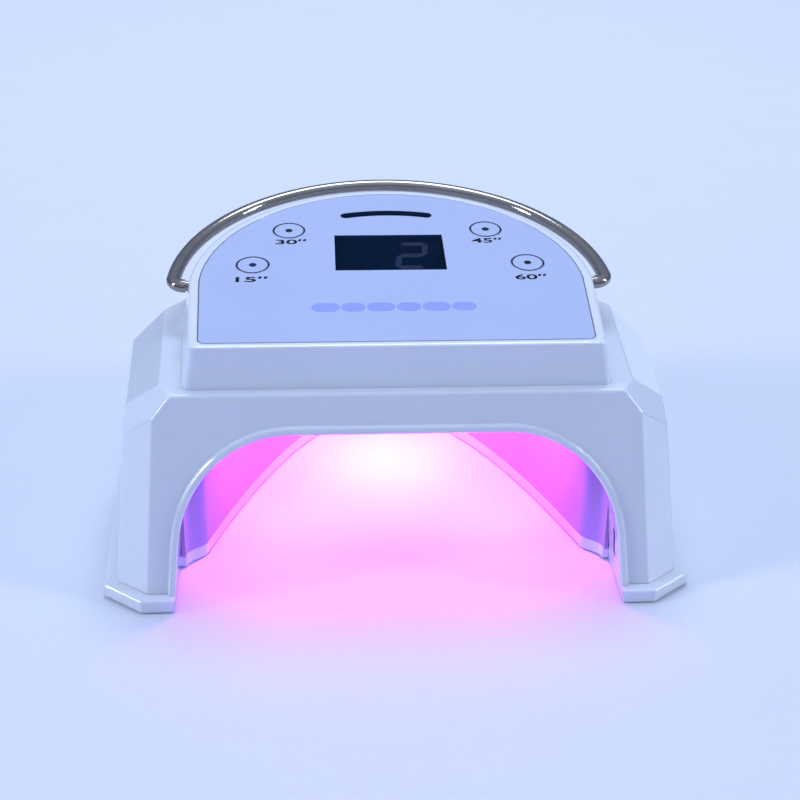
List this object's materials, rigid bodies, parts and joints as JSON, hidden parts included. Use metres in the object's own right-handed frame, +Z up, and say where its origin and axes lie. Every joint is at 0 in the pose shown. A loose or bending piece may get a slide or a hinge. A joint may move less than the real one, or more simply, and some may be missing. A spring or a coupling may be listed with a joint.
{
  "type": "uv curing lamp",
  "caption": "Cordless arched curing lamp: white faceted housing on a foot flange, lit hand cavity, D-shaped panel with round keys and a dark display, folding steel bail.",
  "frame": {"origin": "centre of the bounding box in plan, on the plane the rubber feet stand on", "axes": "+Z up, -Y towards the arched mouth, +X to the right as seen from the mouth"},
  "size_m": [0.2292, 0.178, 0.108],
  "materials": {
    "white_gloss": "glossy moulded ABS, cool white",
    "panel_gloss": "high gloss lacquered panel",
    "liner_white": "reflective white liner",
    "smoked_window": "smoked near-black window",
    "black_plastic": "matt black",
    "digit_lit": "faint digit bars behind the window",
    "digit_dark": "unlit digit bars and light bar",
    "violet_tint": "pale blue-violet translucent inlay",
    "circuit_board": "green lacquered board",
    "aluminium": "satin",
    "lamp_bead": "clear lamp bead, lit violet-pink",
    "cell_wrap": "blue shrink sleeve",
    "grey_ribbon": "grey ribbon",
    "polished_steel": "polished stainless steel",
    "nylon": "natural nylon",
    "zinc_screw": "zinc plated",
    "foot_rubber": "soft grey rubber"
  },
  "bodies": {
    "lamp": {"base_frame": "white_gloss", "base_screws": "zinc_screw", "battery_cells": "cell_wrap", "battery_tray_left": "black_plastic", "battery_tray_right": "black_plastic", "board_screws": "zinc_screw", "charging_inlet": "black_plastic", "control_board": "circuit_board", "control_panel": "panel_gloss", "digit_bars_dark": "digit_dark", "digit_bars_lit": "digit_lit", "display_module": "black_plastic", "display_window": "smoked_window", "driver_board": "circuit_board", "driver_parts": "black_plastic", "hand_sensor_left": "smoked_window", "hand_sensor_right": "smoked_window", "heat_sink": "aluminium", "housing_shell": "white_gloss", "indicator_lens": "smoked_window", "indicator_light": "digit_dark", "lamp_board_top": "aluminium", "lamp_lenses_left": "lamp_bead", "lamp_lenses_right": "lamp_bead", "lamp_lenses_top": "lamp_bead", "lamp_strip_left": "aluminium", "lamp_strip_right": "aluminium", "mark_tiles": "violet_tint", "pivot_bush_left": "nylon", "pivot_bush_right": "nylon", "reflector_liner": "liner_white", "ribbon_cable": "grey_ribbon", "rubber_feet": "foot_rubber", "sensor_board_left": "circuit_board", "sensor_board_right": "circuit_board", "tact_switch_15s": "black_plastic", "tact_switch_30s": "black_plastic", "tact_switch_45s": "black_plastic", "tact_switch_60s": "black_plastic"},
    "handle": {"carry_handle": "polished_steel", "pivot_washer_left": "polished_steel", "pivot_washer_right": "polished_steel"},
    "key_15s_body": {"key_15s": "panel_gloss"},
    "key_30s_body": {"key_30s": "panel_gloss"},
    "key_45s_body": {"key_45s": "panel_gloss"},
    "key_60s_body": {"key_60s": "panel_gloss"}
  },
  "joints": [
    {"name": "handle_swing", "type": "hinge", "parent": "lamp", "child": "handle", "pos_m": [0, -0.001, 0.093], "axis": [1, 0, 0], "range_deg": [0, 150]},
    {"name": "press_key_15s", "type": "slide", "parent": "lamp", "child": "key_15s_body", "axis": [0, 0.1281, -0.9918], "range_m": [0, 0.0008], "stiffness_N_per_m": 400, "springref_m": -0.0008},
    {"name": "press_key_30s", "type": "slide", "parent": "lamp", "child": "key_30s_body", "axis": [0, 0.1281, -0.9918], "range_m": [0, 0.0008], "stiffness_N_per_m": 400, "springref_m": -0.0008},
    {"name": "press_key_45s", "type": "slide", "parent": "lamp", "child": "key_45s_body", "axis": [0, 0.1281, -0.9918], "range_m": [0, 0.0008], "stiffness_N_per_m": 400, "springref_m": -0.0008},
    {"name": "press_key_60s", "type": "slide", "parent": "lamp", "child": "key_60s_body", "axis": [0, 0.1281, -0.9918], "range_m": [0, 0.0008], "stiffness_N_per_m": 400, "springref_m": -0.0008}
  ]
}
